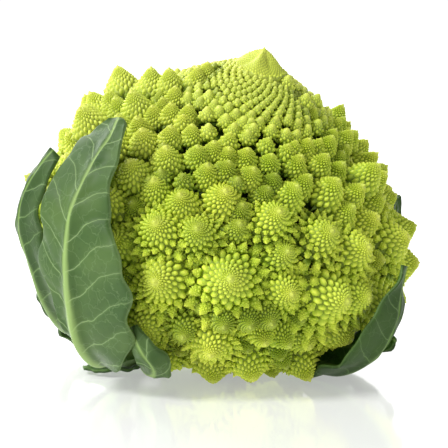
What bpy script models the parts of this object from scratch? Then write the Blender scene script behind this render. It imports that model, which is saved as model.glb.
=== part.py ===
"""A romanesco head: a curd of spiral florets on a short stalk, with the leaves that wrap its base.

Run with: blender --background --python part.py
Lengths in this file are millimetres until an object's mesh is made, which turns them into metres.
The head stands on the floor at z = 0 and is seen from -Y. Its axis leans to the right and to the front.
"""
import math

import bmesh
import bpy
import numpy as np
from mathutils import Vector

MM = 0.001
GOLDEN_ANGLE = math.radians(137.50776)

# Head
HEAD_CENTRE = np.array([18.0, -18.0, 67.0])
LEAN_RIGHT = math.radians(13.9)
LEAN_FRONT = math.radians(15.0)
TOP_REACH = 67.5
SIDE_REACH = 90.5
UNDER_LOSS = 15.0
APEX_RISE = 12.5
APEX_RISE_ANGLE = 9.0
LOWEST_ANGLE = 132.0

# Florets
WIDTH_AT_MARK = 13.2
WIDTH_MARK = 66.0
WIDTH_POWER = 1.55
WIDEST_FLORET = 28.0
NARROWEST_FLORET = 8.6
FINE_WIDTH = 7.2
LEAST_CLOSENESS = 0.72
SUNK_SHARE = 0.4
MOST_SUNK = 6.0
FIRST_TURN = 3.71
APEX_ARC = 16.0
VIEW_DISTANCE = 750.0
VIEW_RISE = math.radians(7.0)
FRONT_SECTOR = (-38.0, 48.0)
LEAF_ROOM = 29.0
ROUNDNESS = 0.85
FULLNESS = 0.57
CURL_UNDER = 1.02
TIP_LEAN = 22.0
APEX_HEIGHT = 20.0
APEX_KIND = (5, 8, 40, 0.0357, 0.045)
CORE_SHARE = 0.84
NECK = ((36.0, -38.0), (27.0, -49.0), (0.0, -53.0))
CORE_ANGLES = (0.0, 12.0, 26.0, 42.0, 60.0, 78.0, 96.0, 116.0)
FACE_BUDGET = 11700

# Stalk
STALK_FOOT_RADIUS = 20.0
STALK_TOP_RADIUS = 24.0
STALK_TOP = 25.6
ROOM_RADIUS = 29.0
UNDERSIDE = 26.2
FLOOR_GAP = 0.3
LEAF_CLEARANCE = 1.3

# Leaves, from the stalk to the tip: a point on the middle rib, then the half-widths to its left and right
# as the outer face is seen with the tip up. Each starts at the stalk, by its bearing and height there.
LEAVES = {
    "leaf_big_front_left": {
        "start": (234.0, 10.0), "curl": 110.0, "wave": 1.6, "rows": 20, "columns": 8, "points": (
            (-25.0, -37.0, 10.6, 6.0, 6.0), (-32.5, -60.0, 13.0, 6.5, 8.0), (-38.5, -77.0, 24.0, 7.0, 23.0),
            (-41.0, -87.0, 42.0, 13.0, 27.0), (-41.8, -91.0, 58.0, 21.0, 28.0), (-41.0, -92.0, 70.0, 16.0, 21.0),
            (-39.2, -91.5, 80.0, 18.0, 16.0), (-32.0, -88.0, 96.0, 17.0, 11.0), (-25.5, -83.0, 106.0, 15.0, 6.5),
            (-23.4, -79.6, 110.8, 11.5, 4.5), (-22.3, -77.4, 113.4, 5.0, 2.0))},
    "leaf_left": {
        "start": (196.0, 17.5), "curl": 60.0, "wave": 1.0, "rows": 14, "columns": 6, "points": (
            (-36.0, -15.0, 17.5, 6.0, 6.0), (-47.0, -34.0, 22.0, 6.5, 7.0), (-54.0, -50.0, 36.0, 6.5, 9.0),
            (-58.5, -59.0, 52.0, 6.0, 11.0), (-62.8, -63.0, 68.0, 5.0, 13.0), (-60.8, -67.0, 82.0, 5.0, 11.0),
            (-54.0, -70.5, 94.0, 4.0, 8.0), (-49.0, -71.0, 100.0, 2.0, 2.5))},
    "leaf_low_back_left": {
        "start": (166.0, 8.0), "curl": 40.0, "wave": 1.5, "rows": 10, "columns": 6, "points": (
            (-36.0, 8.0, 8.0, 6.0, 6.0), (-48.0, 5.0, 10.0, 9.0, 9.0), (-52.5, 0.5, 15.5, 11.0, 10.0),
            (-58.5, -4.5, 24.0, 9.0, 8.0), (-63.0, -8.0, 32.0, 3.0, 3.0))},
    "leaf_small_front_left": {
        "start": (256.0, 15.0), "curl": 26.0, "wave": 0.8, "rows": 12, "columns": 4, "points": (
            (-12.0, -40.0, 12.5, 5.0, 5.0), (-12.0, -60.0, 10.5, 6.0, 6.0), (-9.0, -77.0, 11.5, 6.5, 6.5),
            (-8.5, -88.0, 16.0, 7.0, 6.5), (-13.0, -92.0, 23.0, 6.0, 6.0), (-17.0, -90.5, 32.0, 2.5, 2.5))},
    "leaf_on_floor": {
        "start": (228.0, 3.0), "rib": 1.9, "away": (0.0, 0.0, -1.0), "curl": 60.0, "wave": 0.4, "rows": 7, "columns": 6, "points": (
            (-22.0, -25.0, 3.0, 9.0, 9.0), (-31.0, -31.0, 3.0, 11.0, 12.0), (-42.0, -33.0, 3.2, 3.0, 3.0))},
    "leaf_big_front_right": {
        "start": (335.0, 8.0), "curl": 36.0, "wave": 1.4, "rows": 18, "columns": 6, "points": (
            (38.0, -18.0, 7.5, 6.0, 6.0), (55.0, -35.0, 6.5, 9.0, 7.0), (68.5, -53.0, 7.5, 14.0, 7.0),
            (81.0, -67.0, 17.0, 16.0, 6.0), (88.0, -71.5, 31.0, 12.0, 5.0), (90.0, -71.5, 43.0, 6.5, 4.5),
            (92.5, -70.0, 53.5, 2.0, 2.0))},
    "leaf_tall_right": {
        "start": (20.0, 17.5), "curl": 34.0, "wave": 1.2, "rows": 14, "columns": 6, "points": (
            (44.0, 16.0, 17.5, 6.0, 6.0), (68.0, 24.0, 20.0, 8.0, 8.0), (90.0, 34.0, 30.0, 11.0, 11.0),
            (98.0, 34.0, 46.0, 10.0, 10.0), (99.5, 31.0, 60.0, 5.0, 5.0), (100.0, 27.0, 71.0, 1.5, 1.5))},
    "leaf_low_right": {
        "start": (10.0, 8.0), "curl": 40.0, "wave": 1.4, "rows": 10, "columns": 6, "points": (
            (44.0, 7.0, 8.0, 6.0, 6.0), (65.0, -1.0, 7.5, 8.0, 8.0), (79.0, -17.0, 8.5, 9.0, 9.0),
            (87.0, -31.0, 12.0, 5.0, 5.0), (92.0, -41.0, 17.0, 1.5, 1.5))},
    "leaf_back_right": {
        "start": (62.0, 8.0), "curl": 60.0, "wave": 1.5, "rows": 14, "columns": 6, "points": (
            (24.0, 42.0, 8.0, 6.0, 6.0), (30.0, 62.0, 15.0, 11.0, 11.0), (34.0, 76.0, 34.0, 19.0, 19.0),
            (37.0, 81.0, 56.0, 22.0, 22.0), (38.0, 78.0, 76.0, 16.0, 16.0), (37.0, 72.0, 92.0, 2.5, 2.5))},
    "leaf_back_left": {
        "start": (112.0, 8.0), "curl": 60.0, "wave": 1.5, "rows": 14, "columns": 6, "points": (
            (-16.0, 40.0, 8.0, 6.0, 6.0), (-24.0, 56.0, 17.0, 11.0, 11.0), (-31.0, 66.0, 36.0, 19.0, 18.0),
            (-34.0, 68.0, 56.0, 20.0, 20.0), (-33.0, 62.0, 75.0, 12.0, 12.0), (-30.0, 56.0, 87.0, 2.5, 2.5))},
}
BLADE_THICKNESS = 1.1
RIB_THICKNESS = 5.0
RIB_HALF_WIDTH = 3.2
PETIOLE_SHARE = 0.12

# Florets placed one by one: right of the head's centre, above it, and width, seen from the front.
PLACED = (
    (4.4, -27.3, 34.0),
    (-29.9, -29.0, 33.0),
    (56.8, -37.4, 34.0),
    (-29.5, -2.2, 24.0),
    (-10.6, -4.6, 20.0),
    (26.4, 3.1, 21.0),
    (2.2, 12.3, 18.5),
    (-18.0, 10.6, 15.5),
    (14.9, 22.0, 11.5),
    (34.3, 14.5, 16.0),
    (52.4, 17.2, 17.5),
    (36.1, 27.7, 10.5),
    (47.7, 28.2, 11.5),
    (22.7, 28.2, 8.5),
    (12.3, 30.8, 10.0),
    (4.0, 25.1, 9.5),
    (-5.9, 24.2, 12.0),
    (-3.1, 34.0, 9.2),
    (4.4, 37.4, 8.4),
    (21.3, 35.2, 7.5),
    (29.9, 32.3, 8.0),
    (39.6, 35.2, 9.7),
    (49.7, 36.3, 9.7),
    (58.4, 38.8, 12.3),
    (-24.2, 31.9, 15.4),
    (-34.9, 39.7, 14.0),
    (-41.4, 25.7, 16.7),
    (-22.0, 40.9, 10.6),
    (-12.5, 41.4, 8.8),
    (-10.2, 31.9, 10.6),
    (49.7, -5.7, 21.0),
    (83.6, -8.4, 26.0),
    (88.0, -20.0, 24.0),
    (-4.8, -62.0, 25.0),
    (13.2, -49.3, 12.0),
    (23.0, -48.0, 13.0),
    (20.0, -57.0, 12.0),
    (31.0, -58.0, 13.0),
    (14.5, -73.0, 21.0),
    (39.6, -73.0, 19.0),
    (-17.0, -54.0, 15.0),
    (1.3, -49.5, 13.0),
    (66.0, -13.0, 24.0),
    (66.0, -36.0, 24.0),
    (-20.0, 58.3, 9.5),
    (-22.0, 50.8, 9.7),
    (-13.8, 50.4, 9.3),
    (-4.9, 56.3, 7.0),
    (-5.9, 48.8, 6.5),
    (-5.3, 41.4, 7.0),
    (22.9, 41.0, 6.2),
    (12.1, 38.5, 6.4),
    (29.5, 39.2, 6.6),
    (41.4, 49.3, 8.8),
    (43.8, 43.1, 6.6),
)
# Florets that stand proud of the others: right, up and width, and how far they stand out.
PROUD = (
    (-62.7, 48.8, 18.0, 4.0),
    (-45.8, 67.3, 17.5, 5.5),
    (-30.8, 66.9, 15.0, 5.0),
    (-22.9, 66.4, 14.0, 4.5),
    (-9.9, 66.9, 9.5, 3.0),
    (-5.7, 68.9, 9.5, 3.0),
    (-39.7, 56.7, 15.0, 2.5),
    (30.4, 62.7, 7.0, 2.5),
    (38.3, 54.8, 7.0, 2.0),
    (43.4, 54.4, 7.0, 2.0),
    (55.0, 51.0, 11.5, 3.0),
    (70.4, 23.8, 18.0, 3.0),
    (-87.0, 18.5, 15.0, 1.5),
    (-71.0, 23.0, 13.0, 0.0),
)
# Places of the front view where the florets stand back: right and up, how wide round it, and how deep.
DIPS = (
    (-36.5, 66.0, 12.0, 5.0),
    (-14.5, 68.0, 11.0, 8.0),
    (-80.0, 40.0, 19.0, 15.0),
    (-84.0, 28.0, 13.0, 10.0),
    (-83.0, -22.0, 27.0, 9.5),
    (72.0, 33.0, 14.0, 11.0),
    (84.0, 11.0, 13.0, 10.0),
    (86.0, -2.0, 8.0, 6.0),
    (-74.0, 36.0, 11.0, 9.0),
    (-60.0, 31.0, 8.0, 8.5),
    (66.0, 31.0, 8.0, 7.0),
    (90.0, 12.0, 12.0, 9.0),
)


def smooth(value):
    value = np.clip(value, 0.0, 1.0)
    return value * value * (3.0 - 2.0 * value)


def unit(vector):
    vector = np.asarray(vector, float)
    return vector / np.linalg.norm(vector, axis=-1, keepdims=True)


AXIS = np.array([
    math.sin(LEAN_RIGHT) * math.cos(LEAN_FRONT),
    -math.sin(LEAN_FRONT),
    math.cos(LEAN_RIGHT) * math.cos(LEAN_FRONT),
])
ACROSS = unit(np.cross((0.0, 1.0, 0.0), AXIS))
BEHIND = np.cross(AXIS, ACROSS)


def reach(polar):
    """How far the floret tips stand from the head's centre, at an angle in degrees from its axis."""
    polar = np.asarray(polar, float)
    sides = (SIDE_REACH - TOP_REACH) * smooth((polar - 24.0) / 66.0)
    rise = APEX_RISE * np.exp(-polar / APEX_RISE_ANGLE)
    return TOP_REACH + sides + rise - UNDER_LOSS * smooth((polar - 105.0) / 45.0)


def meridian():
    """The head's outline from apex to underside: angle, reach, arc length and floret width."""
    polar = np.linspace(0.0, LOWEST_ANGLE, 1200)
    far = reach(polar)
    out = far * np.sin(np.radians(polar))
    up = far * np.cos(np.radians(polar))
    arc = np.concatenate([[0.0], np.cumsum(np.hypot(np.diff(out), np.diff(up)))])
    width = WIDEST_FLORET * np.tanh(WIDTH_AT_MARK * (arc / WIDTH_MARK) ** WIDTH_POWER / WIDEST_FLORET)
    return polar, far, out, arc, width


def direction(polar, turn):
    """Unit vectors at angles, in degrees from the head's axis and in radians round it."""
    polar = np.radians(np.atleast_1d(polar))[:, None]
    turn = np.atleast_1d(turn)[:, None]
    return np.cos(polar) * AXIS + np.sin(polar) * (np.cos(turn) * ACROSS + np.sin(turn) * BEHIND)


def polar_of(directions):
    return np.degrees(np.arccos(np.clip(directions @ AXIS, -1.0, 1.0)))


def spiral_sites(narrowest):
    """Florets set by the golden angle, counted up from the underside."""
    polar, far, out, arc, width = meridian()
    wide = np.maximum(width, narrowest)
    per_arc = 2.0 * math.pi * np.maximum(out, 0.1) / (0.866 * wide ** 2)
    count = np.concatenate([[0.0], np.cumsum(0.5 * (per_arc[1:] + per_arc[:-1]) * np.diff(arc))])
    count = count[-1] - count
    last = np.interp(APEX_ARC, arc, count)
    number = np.arange(0.5, last)
    angles = np.interp(-number, -count, polar)
    return direction(angles, FIRST_TURN - GOLDEN_ANGLE * number), np.interp(angles, polar, wide)


def lifted(across, above, stand):
    """The direction from the head's centre to its envelope's point that the front view shows there."""
    forward = np.array([0.0, math.cos(VIEW_RISE), -math.sin(VIEW_RISE)])
    right = np.array([1.0, 0.0, 0.0])
    up = np.cross(right, forward)
    ray = unit(VIEW_DISTANCE * forward + across * right + above * up)
    points = np.linspace(600.0, 900.0, 1500)[:, None] * ray - VIEW_DISTANCE * forward
    far = np.linalg.norm(points, axis=1)
    excess = far - reach(polar_of(points / far[:, None])) - stand
    inside = np.nonzero(excess < 0.0)[0]
    hit = inside[0] if len(inside) else int(np.argmin(excess))
    return points[hit] / far[hit]


def seen(spots):
    """Right and up in the front view, of points given from the head's centre."""
    forward = np.array([0.0, math.cos(VIEW_RISE), -math.sin(VIEW_RISE)])
    up = np.array([0.0, math.sin(VIEW_RISE), math.cos(VIEW_RISE)])
    return np.column_stack([spots[:, 0], spots @ up]) * (VIEW_DISTANCE / (VIEW_DISTANCE + spots @ forward))[:, None]


def placed_sites():
    """Directions, widths and stands of the florets placed one by one."""
    rows = [(*row, 0.0) for row in PLACED] + list(PROUD)
    found = [lifted(across, above, stand) for across, above, wide, stand in rows]
    return np.array(found), np.array([row[2] for row in rows]), np.array([row[3] for row in rows])


def closeness(one, other, one_width, other_width):
    """Tip distances as a share of the two florets' mean width."""
    far = 0.5 * (reach(polar_of(one))[:, None] + reach(polar_of(other))[None, :])
    gap = np.arccos(np.clip(one @ other.T, -1.0, 1.0)) * far
    return gap / (0.5 * (one_width[:, None] + other_width[None, :]))


def local_width(directions):
    polar, far, out, arc, width = meridian()
    return np.interp(polar_of(directions), polar, width)


def evened(sites, width, held):
    """Pushes apart the florets after the held ones where they crowd, and drops those that still do."""
    for _ in range(60):
        share = closeness(sites, sites, width, width)
        np.fill_diagonal(share, 9.0)
        push = np.maximum(0.97 - share, 0.0) * 0.5 * (width[:, None] + width[None, :])
        away = sites[:, None, :] - sites[None, :, :]
        away /= np.linalg.norm(away, axis=2, keepdims=True) + 1e-9
        move = (away * push[:, :, None]).sum(axis=1) * 0.25 / reach(polar_of(sites))[:, None]
        move[:held] = 0.0
        sites = unit(sites + move)
    share = closeness(sites, sites, width, width)
    good = []
    for index in range(len(sites)):
        if index < held or all(share[index, other] > LEAST_CLOSENESS for other in good):
            good.append(index)
    return sites[good], width[good]


def filled(sites, width):
    """Adds small florets in the gaps that the others leave, the widest gap first."""
    number = np.arange(6000) + 0.5
    polar = np.degrees(np.arccos(1.0 - 2.0 * number / 6000.0))
    spots = direction(polar, number * GOLDEN_ANGLE)
    inside = (polar < LOWEST_ANGLE - 4.0) & (local_width(spots) > FINE_WIDTH)
    spots = spots[inside]
    room = local_width(spots)
    gap = (closeness(spots, sites, np.zeros(len(spots)), width) * 0.5 * width - 0.47 * width).min(axis=1)
    while gap.max() > 0.5 * FINE_WIDTH:
        best = int(np.argmax(gap))
        wide = min(2.2 * gap[best], room[best])
        sites = np.vstack([sites, spots[best]])
        width = np.append(width, wide)
        far = reach(polar_of(spots))
        near = np.arccos(np.clip(spots @ spots[best], -1.0, 1.0)) * far - 0.47 * wide
        gap = np.minimum(gap, near)
    return sites, width


def floret_sites(narrowest):
    """All florets: the placed ones, those of the spiral that find room, and small ones in the gaps left."""
    fixed, fixed_width, _ = placed_sites()
    free, free_width = spiral_sites(narrowest)
    fine = free_width <= FINE_WIDTH
    if narrowest > FINE_WIDTH:
        fine = local_width(free) <= FINE_WIDTH
    small, small_width = free[fine], free_width[fine]
    free, free_width = free[~fine], free_width[~fine]
    near = closeness(free, fixed, free_width, fixed_width).min(axis=1)
    sites = np.vstack([fixed, free[near > 0.6]])
    width = np.concatenate([fixed_width, free_width[near > 0.6]])
    sites, width = evened(sites, width, len(fixed))
    sites, width = filled(sites, width)
    near = closeness(small, sites, small_width, width).min(axis=1)
    return np.vstack([sites, small[near > 0.7]]), np.concatenate([width, small_width[near > 0.7]])


def stalk_radius(height):
    return float(np.interp(height, [0.0, 1.5, 12.0, STALK_TOP], [
        STALK_FOOT_RADIUS, STALK_FOOT_RADIUS + 1.0, STALK_FOOT_RADIUS, STALK_TOP_RADIUS]))


def smooth_path(points, shares):
    """A Catmull-Rom curve through rows of numbers, read at shares of its length."""
    points = np.asarray(points, float)
    ends = np.vstack([2.0 * points[0] - points[1], points, 2.0 * points[-1] - points[-2]])
    fine = []
    for first in range(len(points) - 1):
        before, here, there, after = ends[first:first + 4]
        for step in np.linspace(0.0, 1.0, 24, endpoint=False):
            fine.append(0.5 * (
                2.0 * here + (there - before) * step
                + (2.0 * before - 5.0 * here + 4.0 * there - after) * step ** 2
                + (3.0 * here - before - 3.0 * there + after) * step ** 3))
    fine.append(points[-1])
    fine = np.array(fine)
    length = np.concatenate([[0.0], np.cumsum(np.linalg.norm(np.diff(fine[:, :3], axis=0), axis=1))])
    wanted = np.asarray(shares) * length[-1]
    return np.column_stack([np.interp(wanted, length, fine[:, column]) for column in range(points.shape[1])])


def leaf_surface(name, along, across):
    """Points of a leaf's inner face at shares of its length and, from -1 to 1, of its width; and its outward normals."""
    facts = LEAVES[name]
    bearing, height = facts["start"]
    bearing = math.radians(bearing)
    gap = max(stalk_radius(height + 1.0), stalk_radius(height - RIB_THICKNESS)) + 0.9
    start = (gap * math.cos(bearing), gap * math.sin(bearing), height, 5.0, 5.0)
    rows = smooth_path((start,) + facts["points"], along)
    before = smooth_path((start,) + facts["points"], np.maximum(along - 0.01, 0.0))
    after = smooth_path((start,) + facts["points"], np.minimum(along + 0.01, 1.0))
    forward = unit(after[:, :3] - before[:, :3])
    away = rows[:, :3] - HEAD_CENTRE
    if "away" in facts:
        away = np.tile(facts["away"], (len(rows), 1))
    away = unit(away - (away * forward).sum(axis=1, keepdims=True) * forward)
    right = np.cross(forward, away)
    seed = sum(ord(letter) for letter in name)
    wave = facts["wave"] * (
        np.sin(along * 23.0 + seed) + 0.6 * np.sin(along * 41.0 + 2.0 * seed))
    side = np.where(across < 0.0, rows[:, 3], rows[:, 4]) * across
    notch = 1.0 + 0.05 * np.sin(along * 57.0 + seed + across) * np.abs(across)
    side = side * notch
    blade = smooth((along - PETIOLE_SHARE) / 0.12)
    bend = side / facts["curl"]
    points = rows[:, :3] + right * (facts["curl"] * np.sin(bend))[:, None]
    points -= away * (facts["curl"] * (1.0 - np.cos(bend)) * blade)[:, None]
    points += away * (wave * blade * across ** 2 * np.sign(across + 1e-9))[:, None]
    outward = unit(away * np.cos(bend)[:, None] + right * np.sin(bend)[:, None])
    rib = np.exp(-(side / RIB_HALF_WIDTH) ** 2) * (1.0 - 0.75 * smooth((along - 0.3) / 0.7))
    petiole = 1.0 - smooth((along - 0.5 * PETIOLE_SHARE) / 0.3)
    deepest = facts.get("rib", RIB_THICKNESS)
    thickness = BLADE_THICKNESS + (deepest - BLADE_THICKNESS) * np.maximum(rib, 0.75 * petiole)
    return points, outward, thickness


def leaf_cloud():
    """Points over all the leaves' inner and outer faces."""
    along, across = np.meshgrid(np.linspace(0.0, 1.0, 40), np.linspace(-1.0, 1.0, 13))
    cloud = []
    for name in LEAVES:
        points, outward, thickness = leaf_surface(name, along.ravel(), across.ravel())
        cloud.extend([points, points + outward * thickness[:, None]])
    return np.vstack(cloud)


def standing_sites(narrowest):
    """Floret directions, tip distances and widths, clear of the floor, the stalk's room and the leaves."""
    sites, width = floret_sites(narrowest)
    stands = placed_sites()[2]
    beside = closeness(sites, sites, width, width) < 1.15
    sink = SUNK_SHARE * np.maximum((beside * width[None, :]).max(axis=1) - width, 0.0)
    sink[:len(stands)] = 0.0
    far = reach(polar_of(sites)) - np.minimum(sink, MOST_SUNK)
    far[:len(stands)] += stands
    spots = seen(sites[len(stands):] * far[len(stands):, None])
    for across, above, wide, deep in DIPS:
        away = np.hypot(spots[:, 0] - across, spots[:, 1] - above)
        far[len(stands):] -= deep * smooth(1.35 - away / wide)
    floor = HEAD_CENTRE[2] - FLOOR_GAP
    down = -sites[:, 2]
    limit = np.where(down > 0.01, floor / np.maximum(down, 0.01), 1e6)
    turn = np.degrees(np.arctan2(sites[:, 0], -sites[:, 1]))
    front = (turn > FRONT_SECTOR[0]) & (turn < FRONT_SECTOR[1])
    high = HEAD_CENTRE[2] + far * sites[:, 2] > LEAF_ROOM
    good = (limit > 0.80 * far) & (front | high)
    sites, far, width = sites[good], np.minimum(far, limit)[good], width[good]
    leaves = leaf_cloud()
    kept = []
    for index, (site, distance) in enumerate(zip(sites, far)):
        axis = floret_frame(site, TIP_LEAN)[0]
        height = floret_height(width[index])
        tip = HEAD_CENTRE + distance * site
        deep = np.clip((tip - leaves) @ axis, 0.0, 1.5 * height)
        wall = (FULLNESS + 0.03) * width[index] * np.minimum(deep / height, 1.0) ** ROUNDNESS
        gap = (np.linalg.norm(leaves - tip + deep[:, None] * axis, axis=1) - wall).min() - LEAF_CLEARANCE
        if gap < 0.0:
            width[index] += 2.4 * gap
        if width[index] > 0.8 * min(narrowest, NARROWEST_FLORET):
            kept.append(index)
    return sites[kept], far[kept], width[kept]


def floret_frame(tip_direction, lean):
    """The floret's axis, tipped up towards the apex from straight out, and two directions across it."""
    polar = float(polar_of(tip_direction))
    uphill = AXIS - tip_direction * float(tip_direction @ AXIS)
    size = np.linalg.norm(uphill)
    if size > 1e-6:
        tilt = math.radians(lean) * math.sin(math.pi * min(polar, 110.0) / 110.0)
        axis = math.cos(tilt) * tip_direction + math.sin(tilt) * uphill / size
    else:
        axis = np.array(tip_direction)
    side = unit(np.cross(axis, (0.31, 0.87, 0.38)))
    return axis, side, np.cross(axis, side)


def floret_height(width):
    return width * (1.02 - 0.42 * float(smooth((width - 10.0) / 16.0)))


def floret_kind(width):
    """Lattice steps, cells, growth and bump height of a floret of this width."""
    if width > 17.0:
        return 3, 5, 13, 0.0943, 0.12
    if width > 11.0:
        return 2, 3, 7, 0.2417, 0.12
    return 2, 3, 4, 0.2417, 0.12


def loop_of(start, near, far):
    """The closed zigzag of lattice points from start, in order round the cone."""
    links = {}
    for step, jump in [(step, near) for step in range(far)] + [(step, far) for step in range(near)]:
        links.setdefault(start + step, []).append(start + step + jump)
        links.setdefault(start + step + jump, []).append(start + step)
    path = [start]
    while len(path) < near + far:
        path.append(next(other for other in links[path[-1]] if other not in path))
    return path


def add_floret(mesh, tip, axis, side, over, width, height, kind, root):
    """A closed cone of raised spiral cells on a golden-angle lattice, its root sunk in the core."""
    near, far, cells, growth, bump = kind
    number = np.arange(cells + near + far)
    along = CURL_UNDER * np.exp(-growth * number)
    fullness = FULLNESS + 0.07 * float(smooth((13.0 - width) / 4.0))
    radius = fullness * width * np.minimum(along, 2.0 - along) ** ROUNDNESS
    points = []
    for angle, out, down in zip(number * GOLDEN_ANGLE, radius, height * along):
        spot = tip - down * axis + out * (math.cos(angle) * side + math.sin(angle) * over)
        points.append(mesh.verts.new(spot))
    faces = []
    for cell in range(cells):
        corners = (cell, cell + near, cell + near + far, cell + far)
        faces.append(mesh.faces.new([points[corner] for corner in corners]))
    summit = mesh.verts.new(tip)
    foot = mesh.verts.new(tip - (height * along[0] + root) * axis)
    for first, anchor in ((0, foot), (cells, summit)):
        ring = loop_of(first, near, far)
        for here, there in zip(ring, ring[1:] + ring[:1]):
            mesh.faces.new((points[here], points[there], anchor))
    bmesh.ops.recalc_face_normals(mesh, faces=mesh.faces)
    bmesh.ops.poke(mesh, faces=faces, offset=bump * width, center_mode="MEAN")


def collection(name):
    group = bpy.data.collections.new(name)
    bpy.context.scene.collection.children.link(group)
    return group


def material(name, colour, roughness):
    made = bpy.data.materials.new(name)
    made.use_nodes = True
    shader = made.node_tree.nodes["Principled BSDF"]
    shader.inputs["Base Color"].default_value = (*colour, 1.0)
    shader.inputs["Roughness"].default_value = roughness
    shader.inputs["Metallic"].default_value = 0.0
    made.diffuse_color = (*colour, 1.0)
    return made


def curd_material():
    return material("curd_green", (0.36, 0.52, 0.05), 0.55)


def stalk_material():
    return material("stalk_pale_green", (0.42, 0.55, 0.22), 0.5)


def leaf_material():
    return material("leaf_grey_green", (0.12, 0.26, 0.11), 0.5)


def finish_mesh(mesh, name, group, surface=None):
    """A bmesh in millimetres, made an object of the collection in metres with its faces outwards."""
    bmesh.ops.scale(mesh, vec=(MM, MM, MM), verts=mesh.verts)
    bmesh.ops.recalc_face_normals(mesh, faces=mesh.faces)
    data = bpy.data.meshes.new(name)
    mesh.to_mesh(data)
    mesh.free()
    made = bpy.data.objects.new(name, data)
    group.objects.link(made)
    if surface is not None:
        data.materials.append(surface)
    return made


def turned(name, profile, steps, group):
    """A solid turned about Z from (radius, height) points in millimetres, closed on the axis."""
    mesh = bmesh.new()
    points = [mesh.verts.new((radius, 0.0, height)) for radius, height in profile]
    for here, there in zip(points, points[1:]):
        mesh.edges.new((here, there))
    bmesh.ops.scale(mesh, vec=(MM, MM, MM), verts=mesh.verts)
    data = bpy.data.meshes.new(name)
    mesh.to_mesh(data)
    mesh.free()
    made = bpy.data.objects.new(name, data)
    group.objects.link(made)
    screw = made.modifiers.new("turn", "SCREW")
    screw.steps = steps
    screw.render_steps = steps
    screw.use_merge_vertices = True
    screw.merge_threshold = 0.00001
    screw.use_normal_calculate = True
    screw.use_normal_flip = True
    return made


def florets(group):
    """One closed cone for each floret, and the larger one of the apex."""
    sites, far, widths = standing_sites(NARROWEST_FLORET)
    for index, (site, distance, width) in enumerate(zip(sites, far, widths)):
        axis, side, over = floret_frame(site, TIP_LEAN)
        mesh = bmesh.new()
        tip = HEAD_CENTRE + distance * site
        add_floret(mesh, tip, axis, side, over, width, floret_height(width), floret_kind(width), 0.5 * width)
        finish_mesh(mesh, "floret_%03d" % index, group)
    mesh = bmesh.new()
    tip = HEAD_CENTRE + float(reach(0.0)) * AXIS
    axis, side, over = floret_frame(AXIS, 0.0)
    add_floret(mesh, tip, axis, side, over, 2.0 * APEX_ARC, APEX_HEIGHT, APEX_KIND, 10.0)
    finish_mesh(mesh, "floret_apex", group)


def core(group):
    """The plain body under the florets, about the head's axis, flat below."""
    polar, far, out, arc, width = meridian()
    profile = []
    for angle in CORE_ANGLES:
        deep = CORE_SHARE * max(float(np.interp(angle, polar, width)), NARROWEST_FLORET) + 0.8
        radius = float(reach(angle)) - deep
        profile.append((radius * math.sin(math.radians(angle)), radius * math.cos(math.radians(angle))))
    profile[0] = (0.0, profile[0][1])
    profile.extend(NECK)
    made = turned("curd", profile, 22, group)
    made.location = Vector(HEAD_CENTRE * MM)
    made.rotation_mode = "QUATERNION"
    made.rotation_quaternion = Vector((0.0, 0.0, 1.0)).rotation_difference(Vector(AXIS))
    return made


def settle(made):
    """Replaces an object's mesh by what its modifiers make of it."""
    bpy.context.view_layer.update()
    graph = bpy.context.evaluated_depsgraph_get()
    data = bpy.data.meshes.new_from_object(made.evaluated_get(graph))
    made.modifiers.clear()
    old = made.data
    made.data = data
    bpy.data.meshes.remove(old)


def keep_outer_skin(made):
    """Deletes the closed hollows that the union leaves between florets."""
    mesh = bmesh.new()
    mesh.from_mesh(made.data)
    unseen = set(mesh.verts)
    shells = []
    while unseen:
        stack = [unseen.pop()]
        shell = list(stack)
        while stack:
            for edge in stack.pop().link_edges:
                for vert in edge.verts:
                    if vert in unseen:
                        unseen.remove(vert)
                        shell.append(vert)
                        stack.append(vert)
        shells.append(shell)
    shells.sort(key=len)
    for shell in shells[:-1]:
        bmesh.ops.delete(mesh, geom=shell, context="VERTS")
    mesh.to_mesh(made.data)
    mesh.free()


def curd(group, cutters):
    """The curd: florets fused to a smaller core, with room below for the stalk and the leaf stalks."""
    loose = collection("floret_solids")
    florets(loose)
    made = core(group)
    settle(made)
    made.data.materials.append(curd_material())
    union = made.modifiers.new("florets", "BOOLEAN")
    union.operation = "UNION"
    union.operand_type = "COLLECTION"
    union.collection = loose
    union.solver = "EXACT"
    settle(made)
    keep_outer_skin(made)
    for solid in list(loose.objects):
        bpy.data.objects.remove(solid, do_unlink=True)
    bpy.data.collections.remove(loose)
    made.data.calc_loop_triangles()
    share = FACE_BUDGET / len(made.data.loop_triangles)
    cut = made.modifiers.new("stalk_room", "BOOLEAN")
    cut.operation = "DIFFERENCE"
    cut.object = stalk_room(cutters)
    cut.solver = "EXACT"
    thin = made.modifiers.new("fewer_faces", "DECIMATE")
    thin.ratio = min(1.0, share)
    thin.use_collapse_triangulate = True
    return made


def stalk_room(group):
    bpy.ops.mesh.primitive_cylinder_add(
        vertices=28, radius=ROOM_RADIUS * MM, depth=(UNDERSIDE + 10.0) * MM,
        location=(0.0, 0.0, (UNDERSIDE - 10.0) * 0.5 * MM))
    made = bpy.context.active_object
    made.name = "stalk_room"
    made.hide_render = True
    made.display_type = "WIRE"
    for owner in list(made.users_collection):
        owner.objects.unlink(made)
    group.objects.link(made)
    return made


def stalk(group):
    """The cut stalk that the head stands on."""
    profile = (
        (0.0, STALK_TOP), (STALK_TOP_RADIUS, STALK_TOP), (STALK_FOOT_RADIUS, 12.0),
        (STALK_FOOT_RADIUS + 1.0, 1.5), (STALK_FOOT_RADIUS, 0.0), (0.0, 0.0))
    made = turned("stalk", profile, 28, group)
    made.data.materials.append(stalk_material())
    return made


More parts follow.
